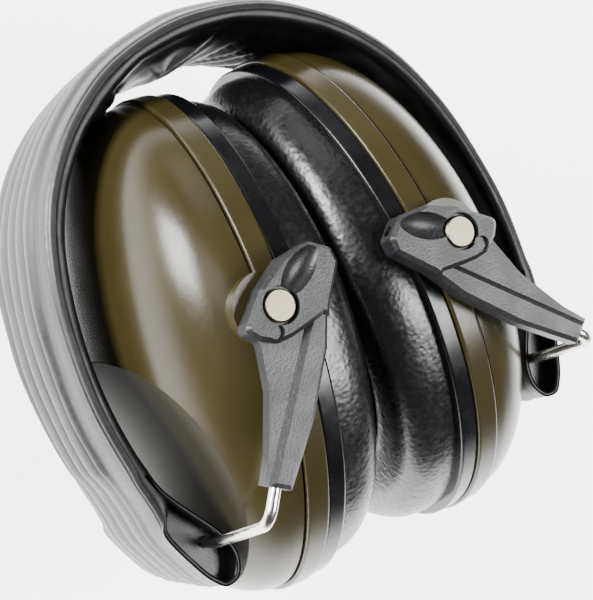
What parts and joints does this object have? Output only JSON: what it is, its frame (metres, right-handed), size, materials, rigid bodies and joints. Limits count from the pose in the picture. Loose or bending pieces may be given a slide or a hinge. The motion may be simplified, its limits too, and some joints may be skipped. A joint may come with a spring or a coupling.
{
  "type": "folding earmuff hearing protector",
  "caption": "Folding over-head earmuff hearing protector, folded for storage: hard cups with soft seals on sliding arms and wire stirrups inside a padded spring headband.",
  "frame": {"origin": "on the resting plane, under the middle of the folded object's bounding box; the back arms' outer faces lie on Z = 0", "axes": "+X towards the right cup, +Y towards the crown of the headband, +Z towards the front"},
  "size_m": [0.097, 0.1088, 0.0908],
  "materials": {
    "cover_vinyl": "satin ribbed vinyl",
    "lining_vinyl": "glossy thin vinyl",
    "padding_foam": "soft closed-cell foam",
    "spring_steel": "rolled strip",
    "block_plastic": "moulded",
    "retainer_plastic": "moulded",
    "stainless_wire": "drawn wire",
    "arm_plastic": "fine spark texture",
    "shell_plastic": "olive, satin, fine orange-peel grain",
    "plate_plastic": "smooth",
    "ring_plastic": "moulded",
    "cushion_foam": "foam",
    "leatherette": "soft, finely wrinkled",
    "acoustic_foam": "open-cell foam",
    "pin_metal": "nickel-plated",
    "clip_metal": "spring steel"
  },
  "bodies": {
    "crown": {"outer_cover_crown": "cover_vinyl", "spring_strip_crown": "spring_steel", "padding_crown": "padding_foam", "inner_lining_crown": "lining_vinyl"},
    "band_left": {"outer_cover_left": "cover_vinyl", "spring_strip_left": "spring_steel", "padding_left": "padding_foam", "inner_lining_left": "lining_vinyl", "end_block_left": "block_plastic", "wire_retainer_left": "retainer_plastic"},
    "wire_left": {"wire_stirrup_left": "stainless_wire"},
    "arms_left": {"arm_left_front": "arm_plastic", "arm_left_back": "arm_plastic"},
    "cup_left": {"cup_shell_left": "shell_plastic", "cup_plate_left": "plate_plastic", "cushion_ring_left": "ring_plastic", "cushion_foam_left": "cushion_foam", "cushion_cover_left": "leatherette", "acoustic_foam_left": "acoustic_foam", "pivot_pins_left": "pin_metal", "pin_clips_left": "clip_metal"},
    "band_right": {"outer_cover_right": "cover_vinyl", "spring_strip_right": "spring_steel", "padding_right": "padding_foam", "inner_lining_right": "lining_vinyl", "end_block_right": "block_plastic", "wire_retainer_right": "retainer_plastic"},
    "wire_right": {"wire_stirrup_right": "stainless_wire"},
    "arms_right": {"arm_right_front": "arm_plastic", "arm_right_back": "arm_plastic"},
    "cup_right": {"cup_shell_right": "shell_plastic", "cup_plate_right": "plate_plastic", "cushion_ring_right": "ring_plastic", "cushion_foam_right": "cushion_foam", "cushion_cover_right": "leatherette", "acoustic_foam_right": "acoustic_foam", "pivot_pins_right": "pin_metal", "pin_clips_right": "clip_metal"}
  },
  "joints": [
    {"name": "flex_left", "type": "hinge", "parent": "crown", "child": "band_left", "pos_m": [-0.00871, 0.05064, 0.0454], "axis": [0, 0, 1], "range_deg": [-53.4, 0]},
    {"name": "fold_left", "type": "hinge", "parent": "band_left", "child": "wire_left", "pos_m": [-0.0372, -0.03398, 0.0454], "axis": [0, 0, 1], "range_deg": [-140, 0]},
    {"name": "height_left", "type": "slide", "parent": "wire_left", "child": "arms_left", "axis": [0.6113, 0.7914, 0], "range_m": [0, 0.024]},
    {"name": "swivel_left", "type": "hinge", "parent": "arms_left", "child": "cup_left", "pos_m": [-0.01784, -0.00024, 0.0454], "axis": [0, 0, 1], "range_deg": [0, 225], "deforming": ["cushion_cover_left"]},
    {"name": "flex_right", "type": "hinge", "parent": "crown", "child": "band_right", "pos_m": [0.00871, 0.05064, 0.0454], "axis": [0, 0, 1], "range_deg": [0, 53.4]},
    {"name": "fold_right", "type": "hinge", "parent": "band_right", "child": "wire_right", "pos_m": [0.0372, -0.03398, 0.0454], "axis": [0, 0, 1], "range_deg": [0, 140]},
    {"name": "height_right", "type": "slide", "parent": "wire_right", "child": "arms_right", "axis": [-0.6375, 0.7705, 0], "range_m": [0, 0.024]},
    {"name": "swivel_right", "type": "hinge", "parent": "arms_right", "child": "cup_right", "pos_m": [0.01854, -0.0031, 0.0454], "axis": [0, 0, 1], "range_deg": [-225, 0], "deforming": ["cushion_cover_right"]}
  ],
  "couplings": [
    {"joint": "flex_left", "follows": "fold_left", "ratio": 0.38},
    {"joint": "height_left", "follows": "fold_left", "m_per_rad": -0.0096},
    {"joint": "swivel_left", "follows": "fold_left", "ratio": -1.6},
    {"joint": "flex_right", "follows": "fold_right", "ratio": 0.38},
    {"joint": "height_right", "follows": "fold_right", "m_per_rad": 0.0096},
    {"joint": "swivel_right", "follows": "fold_right", "ratio": -1.6}
  ]
}
